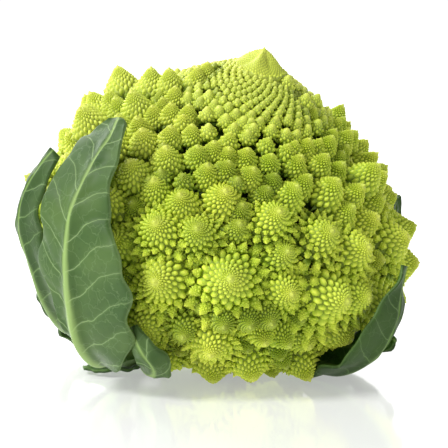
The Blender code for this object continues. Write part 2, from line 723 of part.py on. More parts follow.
def leaf(name, group):
    """A leaf: a grid bent to its path, split into triangles and thickened outwards, most along the middle rib."""
    facts = LEAVES[name]
    mesh = bmesh.new()
    bmesh.ops.create_grid(mesh, x_segments=facts["columns"], y_segments=facts["rows"], size=1.0)
    across = np.array([vert.co.x for vert in mesh.verts])
    along = np.array([vert.co.y for vert in mesh.verts]) * 0.5 + 0.5
    points, outward, thickness = leaf_surface(name, along, across)
    for vert, point in zip(mesh.verts, points):
        vert.co = point
    bmesh.ops.scale(mesh, vec=(MM, MM, MM), verts=mesh.verts)
    bmesh.ops.triangulate(mesh, faces=mesh.faces)
    data = bpy.data.meshes.new(name)
    mesh.to_mesh(data)
    mesh.free()
    data.materials.append(leaf_material())
    made = bpy.data.objects.new(name, data)
    group.objects.link(made)
    weights = made.vertex_groups.new(name="thickness")
    for index, depth in enumerate(thickness):
        weights.add([index], float(depth / RIB_THICKNESS), "REPLACE")
    shell = made.modifiers.new("thickness", "SOLIDIFY")
    shell.thickness = RIB_THICKNESS * MM
    shell.offset = 1.0
    shell.use_even_offset = False
    shell.vertex_group = "thickness"
    return made


def main():
    for old in list(bpy.data.objects):
        bpy.data.objects.remove(old, do_unlink=True)
    group = collection("romanesco_head")
    cutters = collection("cutters")
    curd(group, cutters)
    stalk(group)
    for name in LEAVES:
        leaf(name, group)


main()
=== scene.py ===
"""The romanesco head's look: fine spiral florets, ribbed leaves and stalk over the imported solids.

Lengths are millimetres until a mesh is made, which turns them into metres. The front is -Y.
"""
import math

import bpy
import numpy as np
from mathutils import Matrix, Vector
from mathutils.geometry import delaunay_2d_cdt
from numpy.linalg import norm


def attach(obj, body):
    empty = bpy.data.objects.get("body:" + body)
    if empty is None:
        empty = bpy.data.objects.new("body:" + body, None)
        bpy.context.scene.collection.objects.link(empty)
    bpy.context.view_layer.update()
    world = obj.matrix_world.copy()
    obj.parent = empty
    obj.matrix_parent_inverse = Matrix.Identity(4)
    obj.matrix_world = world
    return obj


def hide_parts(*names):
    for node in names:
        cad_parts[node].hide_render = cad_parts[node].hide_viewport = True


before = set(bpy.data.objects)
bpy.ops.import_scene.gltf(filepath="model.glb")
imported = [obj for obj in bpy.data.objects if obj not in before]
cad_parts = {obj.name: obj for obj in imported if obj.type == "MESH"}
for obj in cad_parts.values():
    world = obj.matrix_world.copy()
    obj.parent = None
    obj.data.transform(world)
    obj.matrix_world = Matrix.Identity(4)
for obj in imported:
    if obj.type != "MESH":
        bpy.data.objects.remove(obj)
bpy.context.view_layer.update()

MM = 0.001
GOLDEN_ANGLE = math.radians(137.50776)

# Head
HEAD_CENTRE = np.array([18.0, -18.0, 67.0])
LEAN_RIGHT = math.radians(13.9)
LEAN_FRONT = math.radians(15)
TOP_REACH = 67.5
SIDE_REACH = 90.5
UNDER_LOSS = 15
APEX_RISE = 12.5
APEX_RISE_ANGLE = 9
LOWEST_ANGLE = 132

# Florets
WIDTH_AT_MARK = 13.2
WIDTH_MARK = 66
WIDTH_POWER = 1.55
WIDEST_FLORET = 28
NARROWEST_FLORET = 8.6
FINE_WIDTH = 7.2
SUNK_SHARE = 0.4
MOST_SUNK = 6
FIRST_TURN = 3.71
APEX_ARC = 13.5
VIEW_DISTANCE = 750
VIEW_RISE = math.radians(7)
FRONT_SECTOR = (-38, 48)
LEAF_ROOM = 29
ROUNDNESS = 0.85
FULLNESS = 0.57
TIP_LEAN = 22
ODD_WAY = (0.31, 0.87, 0.38)
NECK = ((36, -38), (27, -49), (0, -53))
CORE_LOWEST = 116

# Stalk
STALK_FOOT_RADIUS = 20
STALK_TOP_RADIUS = 24
STALK_TOP = 25.6
ROOM_RADIUS = 29
UNDERSIDE = 26.2
FLOOR_GAP = 0.3
LEAF_CLEARANCE = 1.3

# Leaves, from the stalk to the tip: a point on the middle rib, then the half-widths to its left and right
# as the outer face is seen with the tip up. Each starts at the stalk, by its bearing and height there. curl
# is the blade's radius across, wave its ripple, grid the steps along and across, and dark how shaded it is.
LEAVES = {
    "leaf_big_front_left": {
        "start": (234, 10), "grid": (112, 56), "dark": 0.1, "curl": 110, "wave": 1.6, "points": (
            (-25, -37, 10.6, 6, 6), (-32.5, -60, 13, 6.5, 8), (-38.5, -77, 24, 7, 23),
            (-41, -87, 42, 13, 27), (-41.8, -91, 58, 21, 28), (-41, -92, 70, 16, 21),
            (-39.2, -91.5, 80, 18, 16), (-32, -88, 96, 17, 11), (-25.5, -83, 106, 15, 6.5),
            (-23.4, -79.6, 110.8, 11.5, 4.5), (-22.3, -77.4, 113.4, 5, 2))},
    "leaf_left": {
        "start": (196, 17.5), "grid": (70, 32), "dark": 0.8, "curl": 60, "wave": 1, "points": (
            (-36, -15, 17.5, 6, 6), (-47, -34, 22, 6.5, 7), (-54, -50, 36, 6.5, 9),
            (-58.5, -59, 52, 6, 11), (-62.8, -63, 68, 5, 13), (-60.8, -67, 82, 5, 11),
            (-54, -70.5, 94, 4, 8), (-49, -71, 100, 2, 2.5))},
    "leaf_low_back_left": {
        "start": (166, 8), "curl": 40, "wave": 1.5, "points": (
            (-36, 8, 8, 6, 6), (-48, 5, 10, 9, 9), (-52.5, 0.5, 15.5, 11, 10), (-58.5, -4.5, 24, 9, 8),
            (-63, -8, 32, 3, 3))},
    "leaf_small_front_left": {
        "start": (256, 15), "dark": 0.3, "curl": 26, "wave": 0.8, "points": (
            (-12, -40, 12.5, 5, 5), (-12, -60, 10.5, 6, 6), (-9, -77, 11.5, 6.5, 6.5),
            (-8.5, -88, 16, 7, 6.5), (-13, -92, 23, 6, 6), (-17, -90.5, 32, 2.5, 2.5))},
    "leaf_on_floor": {
        "start": (228, 3), "rib": 1.9, "away": (0, 0, -1), "curl": 60, "wave": 0.4, "points": (
            (-22, -25, 3, 9, 9), (-31, -31, 3, 11, 12), (-42, -33, 3.2, 3, 3))},
    "leaf_big_front_right": {
        "start": (335, 8), "grid": (70, 34), "curl": 36, "wave": 1.4, "points": (
            (38, -18, 7.5, 6, 6), (55, -35, 6.5, 9, 7), (68.5, -53, 7.5, 14, 7), (81, -67, 17, 16, 6),
            (88, -71.5, 31, 12, 5), (90, -71.5, 43, 6.5, 4.5), (92.5, -70, 53.5, 2, 2))},
    "leaf_tall_right": {
        "start": (20, 17.5), "curl": 34, "wave": 1.2, "points": (
            (44, 16, 17.5, 6, 6), (68, 24, 20, 8, 8), (90, 34, 30, 11, 11), (98, 34, 46, 10, 10),
            (99.5, 31, 60, 5, 5), (100, 27, 71, 1.5, 1.5))},
    "leaf_low_right": {
        "start": (10, 8), "curl": 40, "wave": 1.4, "points": (
            (44, 7, 8, 6, 6), (65, -1, 7.5, 8, 8), (79, -17, 8.5, 9, 9), (87, -31, 12, 5, 5),
            (92, -41, 17, 1.5, 1.5))},
    "leaf_back_right": {
        "start": (62, 8), "curl": 60, "wave": 1.5, "points": (
            (24, 42, 8, 6, 6), (30, 62, 15, 11, 11), (34, 76, 34, 19, 19), (37, 81, 56, 22, 22),
            (38, 78, 76, 16, 16), (37, 72, 92, 2.5, 2.5))},
    "leaf_back_left": {
        "start": (112, 8), "curl": 60, "wave": 1.5, "points": (
            (-16, 40, 8, 6, 6), (-24, 56, 17, 11, 11), (-31, 66, 36, 19, 18), (-34, 68, 56, 20, 20),
            (-33, 62, 75, 12, 12), (-30, 56, 87, 2.5, 2.5))},
}
BLADE_THICKNESS = 1.1
RIB_THICKNESS = 5
RIB_HALF_WIDTH = 3.2
PETIOLE_SHARE = 0.12
PLAIN_GRID = (44, 20)
VEIN_SPACING = 13
BLADE_START = 0.12
PUCKER = 0.5

# Florets placed one by one: right of the head's centre, above it, and width, seen from the front.
PLACED = (
    (4.4, -27.3, 34), (-29.9, -29, 33), (56.8, -37.4, 34), (-29.5, -2.2, 24), (-10.6, -4.6, 20),
    (26.4, 3.1, 21), (2.2, 12.3, 18.5), (-18, 10.6, 15.5), (14.9, 22, 11.5), (34.3, 14.5, 16),
    (52.4, 17.2, 17.5), (36.1, 27.7, 10.5), (47.7, 28.2, 11.5), (22.7, 28.2, 8.5), (12.3, 30.8, 10),
    (4, 25.1, 9.5), (-5.9, 24.2, 12), (-3.1, 34, 9.2), (4.4, 37.4, 8.4), (21.3, 35.2, 7.5),
    (29.9, 32.3, 8), (39.6, 35.2, 9.7), (49.7, 36.3, 9.7), (58.4, 38.8, 12.3), (-24.2, 31.9, 15.4),
    (-34.9, 39.7, 14), (-41.4, 25.7, 16.7), (-22, 40.9, 10.6), (-12.5, 41.4, 8.8), (-10.2, 31.9, 10.6),
    (49.7, -5.7, 21), (83.6, -8.4, 26), (88, -20, 24), (-4.8, -62, 25), (13.2, -49.3, 12),
    (23, -48, 13), (20, -57, 12), (31, -58, 13), (14.5, -73, 21), (39.6, -73, 19),
    (-17, -54, 15), (1.3, -49.5, 13), (66, -13, 24), (66, -36, 24), (-20, 58.3, 9.5),
    (-22, 50.8, 9.7), (-13.8, 50.4, 9.3), (-4.9, 56.3, 7), (-5.9, 48.8, 6.5), (-5.3, 41.4, 7),
    (22.9, 41, 6.2), (12.1, 38.5, 6.4), (29.5, 39.2, 6.6), (41.4, 49.3, 8.8), (43.8, 43.1, 6.6),
)
# Florets that stand proud of the others: right, up and width, and how far they stand out.
PROUD = (
    (-62.7, 48.8, 18, 4), (-45.8, 67.3, 17.5, 5.5), (-30.8, 66.9, 15, 5), (-22.9, 66.4, 14, 4.5),
    (-9.9, 66.9, 9.5, 3), (-5.7, 68.9, 9.5, 3), (-39.7, 56.7, 15, 2.5), (30.4, 62.7, 7, 2.5),
    (38.3, 54.8, 7, 2), (43.4, 54.4, 7, 2), (55, 51, 11.5, 3), (70.4, 23.8, 18, 3),
    (-87, 18.5, 15, 1.5), (-71, 23, 13, 0),
)
# Places of the front view where the florets stand back: right and up, how wide round it, and how deep.
DIPS = (
    (-36.5, 66, 12, 5), (-14.5, 68, 11, 8), (-80, 40, 19, 15), (-84, 28, 13, 10), (-83, -22, 27, 9.5),
    (72, 33, 14, 11), (84, 11, 13, 10), (86, -2, 8, 6), (-74, 36, 11, 9), (-60, 31, 8, 8.5),
    (66, 31, 8, 7), (90, 12, 12, 9),
)
# Spacing: a lattice cell's area as a share of its width squared, how near two tips may come as shares of
# their mean width, and a tip's room as a share of its own width.
HEX_SHARE = 0.866
EVEN_STEPS = 60
EVEN_SHARE = 0.97
LEAST_CLOSENESS = 0.72
KEPT_CLEAR = 0.6
SMALL_CLEAR = 0.7
TIP_ROOM = 0.47
TRIAL_SPOTS = 6000
# Fine florets, by width: least width, lattice steps and cells.
FLORET_KINDS = (
    (8.5, 8, 13, 140),
    (4.6, 5, 8, 70),
    (0, 3, 5, 28),
)
RIM_CONES = (0.58, 1.08)
ROOT_SHARE = 1.14
FINEST_WIDTH = 3
BODY_SHARE = 0.86
CONE_SIZE = 2.1
DOME_SIZE = 1.5
BACK_DOME_SIZE = 2.4
# Small cones on a floret's rim: the least bead that becomes one, lattice steps, cells and growth.
CONE_KINDS = (
    (4.6, 5, 8, 44, 0.037),
    (3.2, 3, 5, 21, 0.072),
    (0, 2, 3, 10, 0.15),
)
# Small florets deep in the widest gaps of the front: right, up, width, and how deep.
FILLERS = (
    (22.5, 14, 9.5, 3), (10.5, 6.5, 9.5, 3.5), (-33, 18, 8, 3), (14, 44, 5, 0.5),
    (-28, 22, 7, 3), (25, 20, 9, 1.5), (-17.5, 19.5, 8, 2), (-26.5, 33.5, 7, 2),
    (8, 18, 7, 2),
)
# A bead's valleys, shoulders and tops, as shares of its rise.
VALLEY_DEPTH = 0.22
SHOULDER_OUT = 0.62
SHOULDER_RISE = 0.72
BEAD_RISE = 0.56
FLANK_BEAD = 0.36
# The apex's own spiral of beads.
APEX_EDGE = 15.5
APEX_START = 1.4
APEX_LEAST = 1
APEX_BEADS = 1.3
APEX_RIDGES = 4
RIDGE_TURN = math.radians(-98)
RIDGE_HEIGHT = 1.5
APEX_ROOT = 40
APEX_BEAD_RISE = 0.58
# Florets this wide and more have cones on their rims; near the apex they need to be wider.
STARRED_WIDTH = 13
ROUND_ANGLE = 44
ROUND_EXTRA = 6
CURD_PIECES = 6
SEED = 7

# Studio
FLOOR_SIZE = 60
WORLD_STRENGTH = 1.05
HORIZON = 0.36
OVERHEAD = 0.6
ABOVE = 0.36
LIGHTS = (("key_upper_left", (-0.7, -0.4, 0.78), 18, 3.4), ("behind", (-0.5, 0.7, 0.5), 40, 2.3))
WHITE = (1, 1, 1)
BLACK = (0, 0, 0)

# The photograph's frame, and where the head's centre stands in it.
PICTURE_SIZE = 448
HEAD_COLUMN = 221
HEAD_ROW = 217
MM_PER_PIXEL = 0.44
SENSOR = 36


def smooth(value):
    value = np.clip(value, 0, 1)
    return value * value * (3 - 2 * value)


def unit(vector):
    vector = np.asarray(vector, float)
    return vector / norm(vector, axis=-1, keepdims=True)


AXIS = np.array([
    math.sin(LEAN_RIGHT) * math.cos(LEAN_FRONT),
    -math.sin(LEAN_FRONT),
    math.cos(LEAN_RIGHT) * math.cos(LEAN_FRONT),
])
ACROSS = unit(np.cross((0, 1, 0), AXIS))
BEHIND = np.cross(AXIS, ACROSS)
RIGHT = np.array([1, 0, 0])
FORWARD = np.array([0, math.cos(VIEW_RISE), -math.sin(VIEW_RISE)])


def running(steps):
    return np.concatenate([[0], np.cumsum(steps)])


def angle(one, other):
    return np.arccos(np.clip(one @ other, -1, 1))


def turned(turn, side, over):
    """Directions across an axis, at angles round it."""
    return np.cos(turn)[..., None] * side + np.sin(turn)[..., None] * over


def reach(polar):
    """How far the floret tips stand from the head's centre, at an angle in degrees from its axis."""
    polar = np.asarray(polar, float)
    sides = (SIDE_REACH - TOP_REACH) * smooth((polar - 24) / 66)
    rise = APEX_RISE * np.exp(-polar / APEX_RISE_ANGLE)
    return TOP_REACH + sides + rise - UNDER_LOSS * smooth((polar - 105) / 45)


def meridian():
    """The head's outline from apex to underside: angle, distance from the axis, arc length, floret width."""
    polar = np.linspace(0, LOWEST_ANGLE, 1200)
    far = reach(polar)
    out = far * np.sin(np.radians(polar))
    up = far * np.cos(np.radians(polar))
    arc = running(np.hypot(np.diff(out), np.diff(up)))
    width = WIDEST_FLORET * np.tanh(WIDTH_AT_MARK * (arc / WIDTH_MARK) ** WIDTH_POWER / WIDEST_FLORET)
    return polar, out, arc, width


def width_at(polar):
    """The florets' width at angles in degrees from the head's axis."""
    angles, _, _, width = meridian()
    return np.interp(polar, angles, width)


def direction(polar, turn):
    """Unit vectors at angles, in degrees from the head's axis and in radians round it."""
    polar = np.radians(np.atleast_1d(polar))[:, None]
    return np.cos(polar) * AXIS + np.sin(polar) * turned(np.atleast_1d(turn), ACROSS, BEHIND)


def polar_of(directions):
    return np.degrees(angle(directions, AXIS))


def counted(out, arc, wide):
    """How many lattice cells of these widths there are, up to each arc length from the apex."""
    per_arc = 2 * math.pi * np.maximum(out, 0.1) / (HEX_SHARE * wide ** 2)
    return running(0.5 * (per_arc[1:] + per_arc[:-1]) * np.diff(arc))


def spiral_sites():
    """Florets set by the golden angle, counted up from the underside."""
    polar, out, arc, width = meridian()
    wide = np.maximum(width, FINEST_WIDTH)
    count = counted(out, arc, wide)
    count = count[-1] - count
    last = np.interp(APEX_ARC, arc, count)
    number = np.arange(0.5, last)
    angles = np.interp(-number, -count, polar)
    return direction(angles, FIRST_TURN - GOLDEN_ANGLE * number), np.interp(angles, polar, wide)


def lifted(across, above, stand):
    """The direction from the head's centre to its envelope's point that the front view shows there."""
    ray = unit(VIEW_DISTANCE * FORWARD + across * RIGHT + above * np.cross(RIGHT, FORWARD))
    points = np.linspace(600, 900, 1500)[:, None] * ray - VIEW_DISTANCE * FORWARD
    far = norm(points, axis=1)
    excess = far - reach(polar_of(points / far[:, None])) - stand
    inside = np.nonzero(excess < 0)[0]
    hit = inside[0] if len(inside) else int(np.argmin(excess))
    return points[hit] / far[hit]


def placed_sites():
    """Directions, widths and stands of the florets placed one by one."""
    rows = np.array([(*row, 0) for row in PLACED] + list(PROUD))
    found = [lifted(across, above, stand) for across, above, _, stand in rows]
    return np.array(found), rows[:, 2], rows[:, 3]


def closeness(one, other, one_width, other_width):
    """Tip distances as a share of the two florets' mean width."""
    far = 0.5 * (reach(polar_of(one))[:, None] + reach(polar_of(other))[None, :])
    gap = angle(one, other.T) * far
    return gap / (0.5 * (one_width[:, None] + other_width[None, :]))


def evened(sites, width, held):
    """Pushes apart the florets after the held ones where they crowd, and drops those that still do."""
    for _ in range(EVEN_STEPS):
        share = closeness(sites, sites, width, width)
        np.fill_diagonal(share, 9)
        push = np.maximum(EVEN_SHARE - share, 0) * 0.5 * (width[:, None] + width[None, :])
        away = sites[:, None, :] - sites[None, :, :]
        away /= norm(away, axis=2, keepdims=True) + 1e-9
        move = (away * push[:, :, None]).sum(axis=1) * 0.25 / reach(polar_of(sites))[:, None]
        move[:held] = 0
        sites = unit(sites + move)
    share = closeness(sites, sites, width, width)
    good = []
    for index in range(len(sites)):
        if index < held or all(share[index, other] > LEAST_CLOSENESS for other in good):
            good.append(index)
    return sites[good], width[good]


def filled(sites, width):
    """Adds small florets in the gaps that the others leave, the widest gap first."""
    number = np.arange(TRIAL_SPOTS) + 0.5
    polar = np.degrees(np.arccos(1 - 2 * number / TRIAL_SPOTS))
    spots = direction(polar, number * GOLDEN_ANGLE)
    inside = (polar < LOWEST_ANGLE - 4) & (width_at(polar) > FINE_WIDTH)
    spots = spots[inside]
    room = width_at(polar_of(spots))
    gap = (closeness(spots, sites, np.zeros(len(spots)), width) * 0.5 * width - TIP_ROOM * width).min(axis=1)
    while gap.max() > 0.5 * FINE_WIDTH:
        best = int(np.argmax(gap))
        wide = min(2.2 * gap[best], room[best])
        sites = np.vstack([sites, spots[best]])
        width = np.append(width, wide)
        far = reach(polar_of(spots))
        near = angle(spots, spots[best]) * far - TIP_ROOM * wide
        gap = np.minimum(gap, near)
    return sites, width


def floret_sites():
    """All florets: the placed ones, those of the spiral that find room, and small ones in the gaps left."""
    fixed, fixed_width, _ = placed_sites()
    free, free_width = spiral_sites()
    fine = free_width <= FINE_WIDTH
    small, small_width = free[fine], free_width[fine]
    free, free_width = free[~fine], free_width[~fine]
    near = closeness(free, fixed, free_width, fixed_width).min(axis=1)
    sites = np.vstack([fixed, free[near > KEPT_CLEAR]])
    width = np.concatenate([fixed_width, free_width[near > KEPT_CLEAR]])
    sites, width = evened(sites, width, len(fixed))
    sites, width = filled(sites, width)
    near = closeness(small, sites, small_width, width).min(axis=1)
    clear = near > SMALL_CLEAR
    return np.vstack([sites, small[clear]]), np.concatenate([width, small_width[clear]])


def stalk_radius(height):
    return float(np.interp(height, [0, 1.5, 12, STALK_TOP], [
        STALK_FOOT_RADIUS, STALK_FOOT_RADIUS + 1, STALK_FOOT_RADIUS, STALK_TOP_RADIUS]))


def smooth_path(points, shares):
    """A Catmull-Rom curve through rows of numbers, read at shares of its length."""
    points = np.asarray(points, float)
    ends = np.vstack([2 * points[0] - points[1], points, 2 * points[-1] - points[-2]])
    fine = []
    for first in range(len(points) - 1):
        before, here, there, after = ends[first:first + 4]
        for step in np.linspace(0, 1, 24, endpoint=False):
            fine.append(0.5 * (
                2 * here + (there - before) * step
                + (2 * before - 5 * here + 4 * there - after) * step ** 2
                + (3 * here - before - 3 * there + after) * step ** 3))
    fine.append(points[-1])
    fine = np.array(fine)
    length = running(norm(np.diff(fine[:, :3], axis=0), axis=1))
    wanted = np.asarray(shares) * length[-1]
    return np.column_stack([np.interp(wanted, length, fine[:, column]) for column in range(points.shape[1])])


def name_seed(name):
    return sum(ord(letter) for letter in name)


def blade(along):
    """From 0 on the leaf's stem to 1 on its blade."""
    return smooth((along - PETIOLE_SHARE) / BLADE_START)


def leaf_surface(name, along, across):
    """A leaf's inner face, its outward normals and its thickness, at shares of its length and half-widths."""
    facts = LEAVES[name]
    bearing, height = facts["start"]
    bearing = math.radians(bearing)
    gap = max(stalk_radius(height + 1), stalk_radius(height - RIB_THICKNESS)) + 0.9
    start = (gap * math.cos(bearing), gap * math.sin(bearing), height, 5, 5)
    rows = smooth_path((start,) + facts["points"], along)
    before = smooth_path((start,) + facts["points"], np.maximum(along - 0.01, 0))
    after = smooth_path((start,) + facts["points"], np.minimum(along + 0.01, 1))
    forward = unit(after[:, :3] - before[:, :3])
    away = rows[:, :3] - HEAD_CENTRE
    if "away" in facts:
        away = np.tile(facts["away"], (len(rows), 1))
    away = unit(away - (away * forward).sum(axis=1, keepdims=True) * forward)
    right = np.cross(forward, away)
    seed = name_seed(name)
    wave = facts["wave"] * (
        np.sin(along * 23 + seed) + 0.6 * np.sin(along * 41 + 2 * seed))
    side = np.where(across < 0, rows[:, 3], rows[:, 4]) * across
    notch = 1 + 0.05 * np.sin(along * 57 + seed + across) * np.abs(across)
    side = side * notch
    bend = side / facts["curl"]
    points = rows[:, :3] + right * (facts["curl"] * np.sin(bend))[:, None]
    points -= away * (facts["curl"] * (1 - np.cos(bend)) * blade(along))[:, None]
    points += away * (wave * blade(along) * across ** 2 * np.sign(across + 1e-9))[:, None]
    outward = unit(away * np.cos(bend)[:, None] + right * np.sin(bend)[:, None])
    rib = np.exp(-(side / RIB_HALF_WIDTH) ** 2) * (1 - 0.75 * smooth((along - 0.3) / 0.7))
    petiole = 1 - smooth((along - 0.5 * PETIOLE_SHARE) / 0.3)
    deepest = facts.get("rib", RIB_THICKNESS)
    thickness = BLADE_THICKNESS + (deepest - BLADE_THICKNESS) * np.maximum(rib, 0.75 * petiole)
    return points, outward, thickness


def leaf_cloud():
    """Points over all the leaves' inner and outer faces."""
    along, across = np.meshgrid(np.linspace(0, 1, 40), np.linspace(-1, 1, 13))
    cloud = []
    for name in LEAVES:
        points, outward, thickness = leaf_surface(name, along.ravel(), across.ravel())
        cloud.extend([points, points + outward * thickness[:, None]])
    return np.vstack(cloud)


def standing_sites():
    """Floret directions, tip distances and widths, clear of the floor, the stalk's room and the leaves."""
    sites, width = floret_sites()
    stands = placed_sites()[2]
    free = slice(len(stands), None)
    beside = closeness(sites, sites, width, width) < 1.15
    sink = SUNK_SHARE * np.maximum((beside * width[None, :]).max(axis=1) - width, 0)
    sink[:len(stands)] = 0
    far = reach(polar_of(sites)) - np.minimum(sink, MOST_SUNK)
    far[:len(stands)] += stands
    for across, above, wide, deep in DIPS:
        middle = lifted(across, above, 0)
        away = angle(sites[free], middle) * reach(polar_of(middle))
        far[free] -= deep * smooth(1.35 - away / wide)
    floor = HEAD_CENTRE[2] - FLOOR_GAP
    down = -sites[:, 2]
    limit = np.where(down > 0.01, floor / np.maximum(down, 0.01), 1e6)
    turn = np.degrees(np.arctan2(sites[:, 0], -sites[:, 1]))
    front = (turn > FRONT_SECTOR[0]) & (turn < FRONT_SECTOR[1])
    high = HEAD_CENTRE[2] + far * sites[:, 2] > LEAF_ROOM
    good = (limit > 0.80 * far) & (front | high)
    sites, far, width = sites[good], np.minimum(far, limit)[good], width[good]
    leaves = leaf_cloud()
    kept = []
    for index, (site, distance) in enumerate(zip(sites, far)):
        axis = floret_frame(site)[0]
        height = floret_height(width[index])
        tip = HEAD_CENTRE + distance * site
        deep = np.clip((tip - leaves) @ axis, 0, 1.5 * height)
        wall = (FULLNESS + 0.03) * width[index] * np.minimum(deep / height, 1) ** ROUNDNESS
        gap = (norm(leaves - tip + deep[:, None] * axis, axis=1) - wall).min() - LEAF_CLEARANCE
        if gap < 0:
            width[index] += 2.4 * gap
        if width[index] > 0.8 * FINEST_WIDTH:
            kept.append(index)
    return sites[kept], far[kept], width[kept]


def floret_frame(tip_direction):
    """The floret's axis, tipped up towards the apex from straight out, and two directions across it."""
    uphill = unit(AXIS - tip_direction * (tip_direction @ AXIS))
    tilt = math.radians(TIP_LEAN) * math.sin(math.pi * min(polar_of(tip_direction), 110) / 110)
    axis = math.cos(tilt) * tip_direction + math.sin(tilt) * uphill
    side = unit(np.cross(axis, ODD_WAY))
    return axis, side, np.cross(axis, side)


def floret_height(width):
    return width * (1.02 - 0.42 * smooth((width - 10) / 16))


def loop_of(start, near, far):
    """The closed zigzag of lattice points from start, in order round the cone."""
    links = {}
    for step, jump in [(step, near) for step in range(far)] + [(step, far) for step in range(near)]:
        links.setdefault(start + step, []).append(start + step + jump)
        links.setdefault(start + step + jump, []).append(start + step)
    path = [start]
    while len(path) < near + far:
        path.append(next(other for other in links[path[-1]] if other not in path))
    return path


def lattice_quads(near, far, cells):
    """The cells of a golden-angle lattice, from its root up."""
    first = np.arange(cells)
    return np.column_stack([first, first + near, first + near + far, first + far])


def caps(quads, near, far, tip, root):
    """Triangles that close a lattice to one point at its tip and one at its root."""
    used = {(int(a), int(b)) for row in quads for a, b in zip(row, np.roll(row, -1))}
    closing = []
    for start, anchor in ((len(quads), tip), (0, root)):
        loop = loop_of(start, near, far)
        for one, other in zip(loop, loop[1:] + loop[:1]):
            ends = (other, one) if (one, other) in used else (one, other)
            closing.append((*ends, anchor))
    return np.array(closing)


def lattice_triangles(near, far, cells):
    """A lattice's closed skin, whose last two points are its tip and its root."""
    count = cells + near + far
    quads = lattice_quads(near, far, cells)
    return np.vstack([quads[:, [0, 1, 2]], quads[:, [0, 2, 3]], caps(quads, near, far, count, count + 1)])


def sectors(triangles, count):
    """For each edge from a point: the point, the triangles to its right and left, and its place in both."""
    start = triangles.ravel()
    end = np.roll(triangles, -1, axis=1).ravel()
    place = np.arange(start.size)
    order = np.argsort(start * count + end)
    twin = order[np.searchsorted((start * count + end)[order], end * count + start)]
    right = twin // 3
    right_place = right * 3 + (twin % 3 + 1) % 3
    return start, right, place // 3, right_place, place


def facing_out(points, triangles):
    """The triangles, turned where they wind inward."""
    a, b, c = (points[triangles[:, k]] for k in range(3))
    volume = (a * np.cross(b, c)).sum()
    return triangles if volume > 0 else triangles[:, ::-1]


def add_values(data, label, values):
    """A number for each point of a mesh, which its material reads."""
    layer = data.attributes.new(label, "FLOAT", "POINT")
    layer.data.foreach_set("value", values.astype(np.float32))


def dressed_piece(data, surface):
    """The mesh as an object of the scene, with its material."""
    data.materials.append(surface)
    piece = bpy.data.objects.new(data.name, data)
    bpy.context.scene.collection.objects.link(piece)
    return piece


class Skin:
    """Points, triangles and point values gathered for one mesh."""

    def __init__(self):
        self.points = []
        self.triangles = []
        self.smooth = []
        # deep carries painted shade for the materials: gaps between florets, crowded florets, the core and
        # the shaded leaves.
        self.values = {"crest": [], "share": [], "deep": []}
        self.count = 0

    def add(self, points, triangles, crest, share, deep=0, smoothed=False):
        self.points.append(points)
        self.triangles.append(triangles + self.count)
        self.smooth.append(np.broadcast_to(smoothed, len(triangles)))
        for label, values in (("crest", crest), ("share", share), ("deep", deep)):
            self.values[label].append(np.broadcast_to(values, len(points)))
        self.count += len(points)

    def mesh(self, name):
        points = np.vstack(self.points)
        triangles = np.vstack(self.triangles).astype(np.int32)
        data = bpy.data.meshes.new(name)
        data.vertices.add(len(points))
        data.vertices.foreach_set("co", (points * MM).astype(np.float32).ravel())
        data.loops.add(triangles.size)
        data.loops.foreach_set("vertex_index", triangles.ravel())
        data.polygons.add(len(triangles))
        data.polygons.foreach_set("loop_start", np.arange(0, triangles.size, 3, dtype=np.int32))
        data.polygons.foreach_set("use_smooth", np.concatenate(self.smooth))
        data.update(calc_edges=True)
        for label, values in self.values.items():
            add_values(data, label, np.concatenate(values))
        return data


def beaded(skin, triangles, edges, points, lift, rise, domed, share, sunk, soft):
    """The lattice's skin with a bead on each point: a dome where domed, else a small facet cone."""
    point, right, left, right_place, left_place = edges
    pair_rise = rise[triangles].mean(axis=1)[:, None]
    valley = points[triangles].mean(axis=1)
    valley = valley - VALLEY_DEPTH * pair_rise * unit(lift[triangles].mean(axis=1) + 1e-9)
    owner = triangles.ravel()
    used = domed[owner]
    shoulder = points[owner] + SHOULDER_OUT * (np.repeat(valley, 3, axis=0) - points[owner])
    shoulder = (shoulder + SHOULDER_RISE * rise[owner][:, None] * lift[owner])[used]
    tops = points + rise[:, None] * lift
    first_valley = len(points)
    first_shoulder = first_valley + len(valley)
    number = first_shoulder + np.cumsum(used) - 1
    round_one = domed[point]
    p, r, l = point[round_one], right[round_one] + first_valley, left[round_one] + first_valley
    rs, ls = number[right_place[round_one]], number[left_place[round_one]]
    plain = ~round_one
    faces = np.vstack([
        np.column_stack([p, rs, ls]), np.column_stack([rs, r, l]), np.column_stack([rs, l, ls]),
        np.column_stack([point[plain], right[plain] + first_valley, left[plain] + first_valley])])
    smoothed = (np.arange(len(faces)) < 3 * len(p)) | soft
    # Crest is 1 on bead tops, 0.6 on shoulders and 0 in valleys; the material darkens low crest, partly as
    # painted shade between beads.
    crest = np.concatenate([
        np.where(rise > 0, 1, 0.2), np.zeros(len(valley)), np.full(int(used.sum()), 0.6)])
    share = np.concatenate([share, share[triangles].mean(axis=1), share[owner][used]])
    # Painted shade: deep darkens the beads from the floret's sunk level towards its rim, where the gaps
    # between florets lie.
    deep = sunk + (1 - sunk) * smooth((share - 0.7) / 0.36)
    skin.add(np.vstack([tops, valley, shoulder]), faces, crest, share, deep, smoothed)


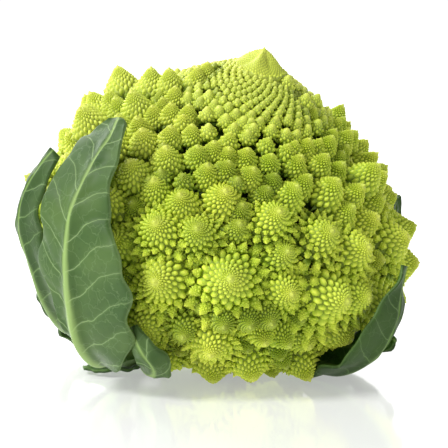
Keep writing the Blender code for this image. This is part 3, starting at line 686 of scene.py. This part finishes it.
def cone_pattern(near, far, cells, growth):
    """A small pointed cone of unit width and height with beads on its flank."""
    number = np.arange(cells + near + far)
    along = np.exp(-growth * number)
    turn = number * GOLDEN_ANGLE
    out = 0.5 * along ** 0.8
    rim = np.column_stack([out * np.cos(turn), out * np.sin(turn), 1 - along])
    quads = lattice_quads(near, far, cells)
    middle = rim[quads].mean(axis=1)
    normal = unit(middle * (1, 1, 0) + (0, 0, 0.12))
    size = norm(rim[quads[:, 0]] - rim[quads[:, 2]], axis=1, keepdims=True)
    tops = middle + FLANK_BEAD * size * normal
    points = np.vstack([rim, tops, (0, 0, 1), (0, 0, -0.5)])
    top = len(rim) + np.arange(cells)
    faces = [np.column_stack([quads[:, k], quads[:, (k + 1) % 4], top]) for k in range(4)]
    faces.append(caps(quads, near, far, len(points) - 2, len(points) - 1))
    # Crest rises from the cone's base to its tip; the material darkens the low bases, partly as painted
    # shade.
    crest = np.concatenate([0.15 + 0.6 * (1 - along), np.full(cells, 0.85), [1, 0]])
    return points, facing_out(points, np.vstack(faces)), crest


def plant(skin, pattern, spots, axes, widths, heights, shares, sunk, random):
    """Copies of a small cone on many spots."""
    points, faces, crest = pattern
    side = unit(np.cross(axes, ODD_WAY))
    over = np.cross(axes, side)
    spin = random.uniform(0, 2 * math.pi, len(spots))
    side, over = turned(spin, side, over), turned(spin, over, -side)
    up = points[:, 2]
    for spot, axis, s, o, width, height, share in zip(spots, axes, side, over, widths, heights, shares):
        placed = spot + width * (points[:, :1] * s + points[:, 1:2] * o) + height * points[:, 2:] * axis
        # Painted shade: the small cones' bases are darkened towards the floret's rim, and their tips are left
        # bright.
        deep = sunk + (1 - sunk) * smooth((share - 0.6) / 0.36) * (1 - smooth(up / 0.75))
        skin.add(placed, faces, crest, share - 0.3 * up, deep)


def fine_floret(skin, tip, axis, side, over, width, height, sunk, kind, patterns, random):
    """A cone covered by round beads on a golden-angle lattice, set with small cones towards its rim."""
    near, far, cells, triangles, edges = kind
    number = np.arange(cells + near + far)
    wide = smooth((width - 12) / 10)
    body = BODY_SHARE + 0.08 * (1 - wide)
    fullness = body * (FULLNESS + 0.07 * smooth((13 - width) / 4))
    roundness = ROUNDNESS - 0.36 * smooth((8.5 - width) / 3.5)
    slant = math.hypot(height, fullness * width) / (fullness * width)
    growth = 2 * math.pi / ((near ** 2 + far ** 2) * slant)
    along = (ROOT_SHARE + 0.12 * wide) * np.exp(-growth * number)
    turn = number * GOLDEN_ANGLE
    folded = np.minimum(along, 2 - along)
    out = fullness * width * folded ** roundness
    slope = fullness * width * roundness * folded ** (roundness - 1) * np.where(along > 1, -1, 1)
    radial = turned(turn, side, over)
    ring = tip - (height * along)[:, None] * axis + out[:, None] * radial
    normal = unit(height * radial + slope[:, None] * axis)
    size = np.sqrt(2.3 * math.pi * out * growth * along * np.hypot(height, slope))
    size = size * random.uniform(0.92, 1.08, len(size))
    starry = width > STARRED_WIDTH + ROUND_EXTRA * (float(polar_of(axis)) < ROUND_ANGLE)
    starred = (size > CONE_SIZE) & starry & (along > RIM_CONES[0]) & (along < RIM_CONES[1])
    rise = np.where(starred, 0, size * (BEAD_RISE - 0.2 * smooth((6 - width) / 2.5)))
    rise[number < near + far] *= 0.6
    small = smooth((9 - width) / 3.5)
    rise *= 1 - small * (1 - smooth((along - 0.3) / 0.35))
    least = DOME_SIZE if axis[1] < 0.2 else BACK_DOME_SIZE
    domed = (size > least) & ~starred & (along < 1.05)
    points = np.vstack([ring, tip - 0.02 * height * axis, tip - (along[0] * height + 0.4 * width) * axis])
    lift = np.vstack([normal + 0.12 * axis, axis, -axis])
    tail = np.zeros(2)
    beaded(skin, triangles, edges, points, lift, np.concatenate([rise, tail]),
           np.concatenate([domed, tail > 0]), np.concatenate([along, [0, ROOT_SHARE]]), sunk, small > 0.5)
    grown = smooth((along - 0.35) / 0.6)
    for least, pattern in patterns:
        chosen = starred & (size > least)
        starred = starred & ~chosen
        if chosen.any():
            tall = size[chosen] * (0.85 + 0.5 * grown[chosen])
            aim = unit(normal[chosen] + 0.5 * grown[chosen][:, None] * radial[chosen] + 0.1 * axis)
            plant(skin, pattern, ring[chosen] - 0.15 * size[chosen][:, None] * normal[chosen],
                  aim, 1.1 * size[chosen], tall, along[chosen], sunk, random)


def apex_skin(skin):
    """The tight spiral of beads round the very apex, on the head's own outline."""
    polar, out, arc, width = meridian()
    wide = np.maximum(APEX_BEADS * width, APEX_LEAST)
    count = counted(out, arc, wide)
    total = np.interp(APEX_EDGE, arc, count)
    number = np.arange(0.5, total - np.interp(APEX_START, arc, count))
    place = np.interp(total - number, count, arc)
    turn = -GOLDEN_ANGLE * number
    flat = [Vector((s * math.cos(t), s * math.sin(t))) for s, t in zip(place, turn)]
    flat.append(Vector((0, 0)))
    place = np.append(place, 0)
    turn = np.append(turn, 0)
    made = delaunay_2d_cdt(flat, [], [], 0, 1e-6)
    triangles = np.array([face for face in made[2] if len(face) == 3])
    kept = np.array([group[0] for group in made[3]])
    place, turn = place[kept], turn[kept]
    slant = np.interp(place, arc, polar)
    size = np.maximum(APEX_BEADS * np.interp(place, arc, width), APEX_LEAST) * smooth((place + 1.5) / 4)
    outward = direction(slant, turn)
    ridge = np.abs(np.mod((APEX_RIDGES * (turn - RIDGE_TURN) + 0.03 * place) / math.pi, 2) - 1) - 0.5
    ridge *= 2 * RIDGE_HEIGHT * smooth(place / 5) * smooth((APEX_EDGE - place) / 8)
    points = HEAD_CENTRE + (reach(slant) - 0.45 * size + ridge)[:, None] * outward
    root = HEAD_CENTRE + APEX_ROOT * AXIS
    ends = {(int(a), int(b)) for row in triangles for a, b in zip(row, np.roll(row, -1))}
    rim = [pair for pair in ends if (pair[1], pair[0]) not in ends]
    hem = np.unique(np.array(rim).ravel())
    anchor = len(points)
    triangles = np.vstack([triangles, [(b, a, anchor) for a, b in rim]])
    points = np.vstack([points, root])
    triangles = facing_out(points - root, triangles)
    lit = smooth(0.5 - 0.8 * np.sin(turn - RIDGE_TURN))
    rise = np.append(APEX_BEAD_RISE * size * (1 - 0.7 * lit), 0)
    rise[hem] = 0
    lift = np.vstack([outward + 0.25 * AXIS, -AXIS])
    domed = np.append(size > DOME_SIZE, False) & (rise > 0)
    share = np.append(0.15 + 0.5 * place / APEX_EDGE, 1)
    beaded(skin, triangles, sectors(triangles, len(points)), points, lift, rise, domed, share, 0.08, True)


def core_skin(skin):
    """The plain body under the florets and its neck."""
    rows = []
    for slant in np.linspace(0, CORE_LOWEST, 40):
        radius = reach(slant) - 1.1 * max(width_at(slant), NARROWEST_FLORET) - 2
        rows.append((radius * math.sin(math.radians(slant)), radius * math.cos(math.radians(slant))))
    rows.extend(NECK)
    steps = 72
    turn = np.arange(steps) * 2 * math.pi / steps
    points = []
    for radius, height in rows:
        radius = max(radius, 0.01)
        points.append(HEAD_CENTRE + height * AXIS + radius * turned(turn, ACROSS, BEHIND))
    points = np.vstack(points)
    points[:, 2] = np.maximum(points[:, 2], np.where(
        np.hypot(points[:, 0], points[:, 1]) < ROOM_RADIUS, UNDERSIDE, FLOOR_GAP))
    faces = []
    for row in range(len(rows) - 1):
        here = row * steps + np.arange(steps)
        there = row * steps + (np.arange(steps) + 1) % steps
        faces.append(np.column_stack([here, there + steps, there]))
        faces.append(np.column_stack([here, here + steps, there + steps]))
    # Painted shade: the core, seen only in gaps between florets, gets the darkest valley colour and the full
    # deep shade.
    skin.add(points, np.vstack(faces), np.zeros(len(points)), 1, 1, True)


def fine_kinds():
    """The florets' lattices with their skins."""
    kinds = []
    for least, near, far, cells in FLORET_KINDS:
        triangles = lattice_triangles(near, far, cells)
        number = np.arange(cells + near + far)
        along = np.exp(-2.4 * number / cells)
        turn = number * GOLDEN_ANGLE
        rough = np.column_stack([along * np.cos(turn), along * np.sin(turn), -along])
        rough = np.vstack([rough, (0, 0, 0), (0, 0, -1.4)]) - (0, 0, -0.7)
        triangles = facing_out(rough, triangles)
        kinds.append((least, (near, far, cells, triangles, sectors(triangles, len(rough)))))
    return kinds


def curd(surface):
    """The curd in a few pieces, each a sector of florets."""
    random = np.random.default_rng(SEED)
    sites, far, widths = standing_sites()
    rows = np.array(FILLERS)
    extra = np.array([lifted(across, above, 0) for across, above in rows[:, :2]])
    sites = np.vstack([sites, extra])
    far = np.append(far, reach(polar_of(extra)) - rows[:, 3])
    widths = np.append(widths, rows[:, 2])
    turn = np.arctan2(sites @ BEHIND, sites @ ACROSS)
    order = np.argsort(turn)
    # Painted shade: small florets crowded by wider neighbours get a darker colour through sunk.
    beside = closeness(sites, sites, widths, widths) < 1.2
    crowded = (beside * widths).max(axis=1) / widths
    sunk = 0.5 * smooth((crowded - 1.25) / 1.1) * smooth((widths.max() - widths) / 4)
    kinds = fine_kinds()
    patterns = [(least, cone_pattern(*lattice)) for least, *lattice in CONE_KINDS]
    load = np.cumsum(widths[order] ** 1.6)
    sector = np.minimum((load / load[-1] * CURD_PIECES).astype(int), CURD_PIECES - 1)
    skins = [Skin() for _ in range(CURD_PIECES)]
    core_skin(skins[0])
    apex_skin(skins[0])
    for index, skin_number in zip(order, sector):
        site, distance, width = sites[index], far[index], widths[index]
        axis, side, over = floret_frame(site)
        lean = math.radians(6 - 2.5 * smooth((width - 8) / 10))
        axis = unit(axis + random.uniform(-lean, lean) * side + random.uniform(-lean, lean) * over)
        side = unit(np.cross(axis, over))
        over = np.cross(axis, side)
        spin = random.uniform(0, 2 * math.pi)
        side, over = turned(spin, side, over), turned(spin, over, -side)
        kind = next(made for least, made in kinds if width >= least)
        tip = HEAD_CENTRE + distance * site
        fine_floret(skins[skin_number], tip, axis, side, over, width,
                    floret_height(width) * random.uniform(0.95, 1.05), sunk[index], kind, patterns, random)
    for number, skin in enumerate(skins):
        piece = dressed_piece(skin.mesh("curd_fine_%d" % number), surface)
        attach(piece, "root")
        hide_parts("curd")


def vein_field(name, along, side, length):
    """The side veins' number at each point, whole on a vein, and how far the blade puckers between them."""
    seed = name_seed(name)
    out = np.abs(side)
    hand = np.where(side < 0, 0.5, 0)
    bow = 0.95 * out - 0.009 * out ** 2 + 0.9 * np.sin(0.33 * out + seed + 9 * hand + 0.09 * along * length)
    place = (along * length - bow) / VEIN_SPACING + hand
    nearest = np.abs(place - np.round(place)) * VEIN_SPACING
    strong = smooth((along - 0.16) / 0.1) * smooth((1.02 - along) / 0.1)
    return place, smooth(nearest / 4) * strong


def leaf(name, surface):
    """A fine leaf on the same form as its solid, with raised veins outside and sunk ones inside."""
    rows, columns = LEAVES[name].get("grid", PLAIN_GRID)
    lengthwise = np.linspace(0, 1, rows + 1)
    along, across = np.meshgrid(lengthwise, np.linspace(-1, 1, columns + 1), indexing="ij")
    along, across = along.ravel(), across.ravel()
    points, outward, thickness = leaf_surface(name, along, across)
    middle, _, _ = leaf_surface(name, along, np.zeros_like(across))
    side = norm(points - middle, axis=1) * np.sign(across)
    line = middle.reshape(rows + 1, columns + 1, 3)[:, 0]
    length = float(norm(np.diff(line, axis=0), axis=1).sum())
    place, pucker = vein_field(name, along, side, length)
    rib_width = 1.25 * RIB_HALF_WIDTH * (1 - 0.86 * smooth((along - 0.05) / 0.8))
    rib = np.exp(-(side / rib_width) ** 4)
    edge = smooth((1 - np.abs(across)) / 0.08)
    relief = PUCKER * pucker * (1 - rib) * blade(along) * edge
    inner = points + outward * (relief * 0.6)[:, None]
    outer = points + outward * (thickness + relief)[:, None]
    rim = across ** 2 > 0.999
    outer[rim] = points[rim] + outward[rim] * 0.5
    count = len(points)
    index = np.arange(count).reshape(rows + 1, columns + 1)
    a, b = index[:-1, :-1].ravel(), index[1:, :-1].ravel()
    d, c = index[:-1, 1:].ravel(), index[1:, 1:].ravel()
    triangles = [
        np.column_stack([a, b, c]) + count, np.column_stack([a, c, d]) + count,
        np.column_stack([a, c, b]), np.column_stack([a, d, c])]
    border = np.concatenate([index[0, :], index[1:, -1], index[-1, -2::-1], index[-2:0:-1, 0]])
    ahead = np.roll(border, -1)
    triangles.append(np.column_stack([border, border + count, ahead + count]))
    triangles.append(np.column_stack([border, ahead + count, ahead]))
    skin = Skin()
    face = np.concatenate([np.zeros(count), np.ones(count)])
    # dark sets the leaf's painted shade, which its material reads as deep.
    dark = LEAVES[name].get("dark", 1)
    skin.add(np.vstack([inner, outer]), np.vstack(triangles), np.tile(rib, 2), face, dark, True)
    data = skin.mesh(name + "_fine")
    for label, values in (("leaf_along", along * length), ("leaf_side", side), ("vein_place", place),
                          ("leaf_edge", 1 - np.abs(across))):
        add_values(data, label, np.tile(values, 2))
    piece = dressed_piece(data, surface)
    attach(piece, "root")
    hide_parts(name)


class Shader:
    """A material whose nodes are named and joined in short calls."""

    def __init__(self, name, roughness):
        self.made = bpy.data.materials.new(name)
        self.made.use_nodes = True
        self.nodes = self.made.node_tree.nodes
        self.links = self.made.node_tree.links
        self.shader = self.nodes["Principled BSDF"]
        self.finish(Roughness=roughness)

    def finish(self, **values):
        """Values that are the same all over, by the socket's name with _ for a space."""
        for key, value in values.items():
            self.shader.inputs[key.replace("_", " ")].default_value = value

    def node(self, kind, **values):
        made = self.nodes.new(kind)
        for key, value in values.items():
            setattr(made, key, value)
        return made

    def feed(self, entry, source):
        """Gives a socket a number, a colour or another node's output."""
        if isinstance(source, (int, float)):
            entry.default_value = source
        elif isinstance(source, tuple):
            entry.default_value = (*source, 1)
        else:
            self.links.new(source, entry)

    def fed(self, kind, *sources, **values):
        """A new node with its first sockets fed."""
        made = self.node(kind, **values)
        for entry, source in zip(made.inputs, sources):
            self.feed(entry, source)
        return made

    def place(self):
        return self.node("ShaderNodeTexCoord").outputs["Object"]

    def value(self, name):
        return self.node("ShaderNodeAttribute", attribute_name=name).outputs["Fac"]

    def ramp(self, source, *stops):
        made = self.node("ShaderNodeValToRGB")
        band = made.color_ramp
        while len(band.elements) < len(stops):
            band.elements.new(0.5)
        for element, (place, colour) in zip(band.elements, stops):
            element.position = place
            element.color = (*colour, 1)
        self.feed(made.inputs["Fac"], source)
        return made.outputs["Color"]

    def mix(self, amount, first, second, blend="MIX"):
        made = self.node("ShaderNodeMix", data_type="RGBA", blend_type=blend)
        for entry, source in (("Factor", amount), ("A", first), ("B", second)):
            self.feed(next(s for s in made.inputs if s.name == entry and s.enabled), source)
        return next(s for s in made.outputs if s.enabled)

    def math(self, operation, first, second=0, clamp=False):
        return self.fed("ShaderNodeMath", first, second, operation=operation, use_clamp=clamp).outputs[0]

    def times(self, first, second):
        return self.math("MULTIPLY", first, second)

    def noise(self, scale, detail=3, where=None):
        made = self.fed("ShaderNodeTexNoise", where or self.place())
        made.inputs["Scale"].default_value = scale
        made.inputs["Detail"].default_value = detail
        return made.outputs["Fac"]

    def cells(self, scale, feature="F1", where=None):
        made = self.fed("ShaderNodeTexVoronoi", where or self.place(), feature=feature)
        made.inputs["Scale"].default_value = scale
        return made.outputs["Distance"]

    def bump(self, height, strength, distance):
        made = self.node("ShaderNodeBump")
        made.inputs["Strength"].default_value = strength
        made.inputs["Distance"].default_value = distance
        self.feed(made.inputs["Height"], height)
        self.feed(self.shader.inputs["Normal"], made.outputs["Normal"])


def curd_material():
    """Yellow-green bead tops over deeper green gaps darkened by painted shade, painted paler light on the
    high left florets, and fine grain.
    """
    look = Shader("curd_fine_green", 0.48)
    crest = look.value("crest")
    share = look.value("share")
    # Bead colour by crest: the yellower tops are the florets' own colour, while the dark valleys between
    # beads are partly painted shade.
    base = look.ramp(
        crest, (0, (0.085, 0.15, 0.004)), (0.4, (0.34, 0.46, 0.018)), (1, (0.73, 0.76, 0.09)))
    tipped = look.ramp(
        share, (0, (0.70, 0.72, 0.12)), (0.3, (0.60, 0.65, 0.07)), (1, (0.50, 0.57, 0.04)))
    amount = look.ramp(share, (0, (0.75, 0.75, 0.75)), (0.4, (0.25, 0.25, 0.25)))
    colour = look.mix(amount, base, tipped)
    # Painted shade from deep: gaps between florets, crowded small florets and the core.
    shade = look.ramp(look.value("deep"), (0, WHITE), (1, (0.2, 0.3, 0.14)))
    colour = look.mix(1, colour, shade, "MULTIPLY")
    patches = look.ramp(look.noise(38, 2), (0.3, (0.82, 0.92, 0.75)), (0.7, WHITE))
    colour = look.mix(1, colour, patches, "MULTIPLY")
    # Painted light: florets high up and to the left are tinted paler yellow, less so where painted shade
    # lies.
    spot = look.fed("ShaderNodeSeparateXYZ", look.place())
    rightward = look.times(spot.outputs["X"], 2.5)
    high = look.math("SUBTRACT", look.times(spot.outputs["Z"], 7), rightward)
    high = look.ramp(high, (0.6, BLACK), (0.98, (0.36, 0.36, 0.36)))
    high = look.times(high, look.math("SUBTRACT", 1, look.value("deep"), clamp=True))
    colour = look.mix(high, colour, (0.86, 0.88, 0.20))
    look.feed(look.shader.inputs["Base Color"], colour)
    look.finish(Subsurface_Weight=0.12, Subsurface_Radius=(1, 1, 0.25), Subsurface_Scale=0.0015,
                Specular_IOR_Level=0.28)
    look.bump(look.cells(1150), 0.35, 0.0004)
    return look.made


def vein_masks(look):
    """Where the side veins lie, the paler blade beside them, and the net of fine veins between."""
    place = look.fed("ShaderNodeCombineXYZ", look.value("leaf_along"), look.value("leaf_side")).outputs[0]
    warp = look.times(look.noise(0.16, 2, place), 0.5)
    vein_place = look.math("ADD", look.value("vein_place"), look.times(warp, 0.5))
    to_vein = look.times(look.math("PINGPONG", vein_place, 0.5), VEIN_SPACING)
    side = look.math("ABSOLUTE", look.value("leaf_side"))
    vein = look.ramp(look.math("ADD", to_vein, look.times(side, 0.008)),
                     (0, WHITE), (0.12, WHITE), (0.42, BLACK))
    halo = look.ramp(to_vein, (0, WHITE), (1, BLACK))
    bend = look.fed("ShaderNodeTexNoise", place)
    bend.inputs["Scale"].default_value = 0.3
    strength = look.fed("ShaderNodeVectorMath", bend.outputs["Color"], operation="SCALE")
    strength.inputs["Scale"].default_value = 5
    warped = look.fed("ShaderNodeVectorMath", place, strength.outputs[0], operation="ADD")
    net = look.cells(0.15, "DISTANCE_TO_EDGE", warped.outputs[0])
    fine = look.ramp(net, (0, WHITE), (0.035, BLACK))
    return vein, halo, fine


def leaf_material():
    """Grey-green wax outside, fresher green inside, pale ribs and a net of fine veins."""
    look = Shader("leaf_fine_grey_green", 0.5)
    rib = look.value("crest")
    noise = look.noise(55, 4)
    outside = look.ramp(noise, (0.3, (0.038, 0.083, 0.019)), (0.7, (0.072, 0.128, 0.032)))
    inside = look.ramp(noise, (0.3, (0.05, 0.13, 0.016)), (0.7, (0.09, 0.20, 0.026)))
    colour = look.mix(look.value("share"), inside, outside)
    vein, halo, fine = vein_masks(look)
    colour = look.mix(look.times(halo, 0.35), colour, (0.13, 0.20, 0.075))
    colour = look.mix(look.times(fine, 0.3), colour, (0.17, 0.26, 0.11))
    colour = look.mix(look.times(vein, 0.48), colour, (0.28, 0.39, 0.17))
    rim = look.ramp(look.value("leaf_edge"), (0, WHITE), (0.035, BLACK))
    colour = look.mix(look.times(rim, 0.35), colour, (0.24, 0.34, 0.13))
    pits = look.ramp(look.cells(230), (0, (0.55, 0.6, 0.5)), (0.16, WHITE))
    colour = look.mix(0.5, colour, look.mix(1, colour, pits, "MULTIPLY"))
    colour = look.mix(look.times(rib, 0.85), colour, (0.27, 0.39, 0.12))
    # Painted shade: each leaf is darkened by its dark value, and the front left leaf least.
    shade = look.ramp(look.value("deep"), (0, WHITE), (1, (0.5, 0.6, 0.42)))
    colour = look.mix(1, colour, shade, "MULTIPLY")
    look.feed(look.shader.inputs["Base Color"], colour)
    look.finish(Subsurface_Weight=0.08, Subsurface_Radius=(0.6, 1, 0.2), Subsurface_Scale=0.001,
                Specular_IOR_Level=0.18)
    raised = look.math("ADD", vein, look.times(fine, 0.5))
    look.bump(look.math("ADD", raised, look.times(noise, 0.6)), 0.3, 0.0004)
    return look.made


def stalk_material():
    """Pale fibrous green."""
    look = Shader("stalk_fine_green", 0.5)
    colour = look.ramp(look.noise(90, 5), (0.3, (0.33, 0.46, 0.16)), (0.7, (0.52, 0.62, 0.30)))
    look.feed(look.shader.inputs["Base Color"], colour)
    look.finish(Subsurface_Weight=0.1, Subsurface_Scale=0.002)
    look.bump(look.noise(400, 3), 0.2, 0.0005)
    return look.made


def floor_material():
    """Glossy white, bright enough to read as the photograph's white surface."""
    look = Shader("floor_white", 0.1)
    look.finish(Metallic=0.4, Base_Color=(0.9, 0.9, 0.9, 1), Specular_IOR_Level=0.9,
                Emission_Color=(*WHITE, 1), Emission_Strength=0.38)
    return look.made


def stage():
    """A white floor, white surroundings, a soft key from the upper left and a soft light from behind."""
    bpy.ops.mesh.primitive_plane_add(size=FLOOR_SIZE, location=(0, 0, 0))
    floor = bpy.context.active_object
    floor.name = "floor"
    floor.data.materials.append(floor_material())
    world = bpy.data.worlds.new("studio")
    bpy.context.scene.world = world
    world.use_nodes = True
    nodes, links = world.node_tree.nodes, world.node_tree.links
    background = nodes["Background"]
    sky = nodes.new("ShaderNodeTexCoord")
    split = nodes.new("ShaderNodeSeparateXYZ")
    band = nodes.new("ShaderNodeValToRGB")
    links.new(sky.outputs["Generated"], split.inputs[0])
    links.new(split.outputs["Z"], band.inputs["Fac"])
    links.new(band.outputs["Color"], background.inputs["Color"])
    for stop, place, grey in zip(band.color_ramp.elements, (HORIZON, OVERHEAD), (1, ABOVE)):
        stop.position, stop.color = place, (grey, grey, grey, 1)
    background.inputs["Strength"].default_value = WORLD_STRENGTH
    for name, toward, angle, power in LIGHTS:
        light = bpy.data.lights.new(name, "SUN")
        light.angle = math.radians(angle)
        light.energy = power
        made = bpy.data.objects.new(name, light)
        made.location = toward
        made.rotation_euler = Vector(toward).to_track_quat("Z", "Y").to_euler()
        bpy.context.scene.collection.objects.link(made)


def camera():
    """The photograph's view: slightly from above, with the head's centre where it stands in the picture."""
    sight = bpy.data.cameras.new("camera")
    sight.sensor_width = SENSOR
    sight.lens = SENSOR / (PICTURE_SIZE * MM_PER_PIXEL / VIEW_DISTANCE)
    sight.shift_x = (PICTURE_SIZE * 0.5 - HEAD_COLUMN) / PICTURE_SIZE
    sight.shift_y = (HEAD_ROW - PICTURE_SIZE * 0.5) / PICTURE_SIZE
    sight.clip_start = 0.01
    made = bpy.data.objects.new("camera", sight)
    made.location = Vector(MM * (HEAD_CENTRE - VIEW_DISTANCE * FORWARD))
    made.rotation_euler = Vector(FORWARD).to_track_quat("-Z", "Y").to_euler()
    bpy.context.scene.collection.objects.link(made)
    bpy.context.scene.camera = made


def main():
    camera()
    curd(curd_material())
    green = leaf_material()
    for name in LEAVES:
        leaf(name, green)
    stalk = bpy.data.objects["stalk"]
    stalk.data.materials.clear()
    stalk.data.materials.append(stalk_material())
    stage()
    bpy.context.scene.view_settings.view_transform = "Standard"


main()
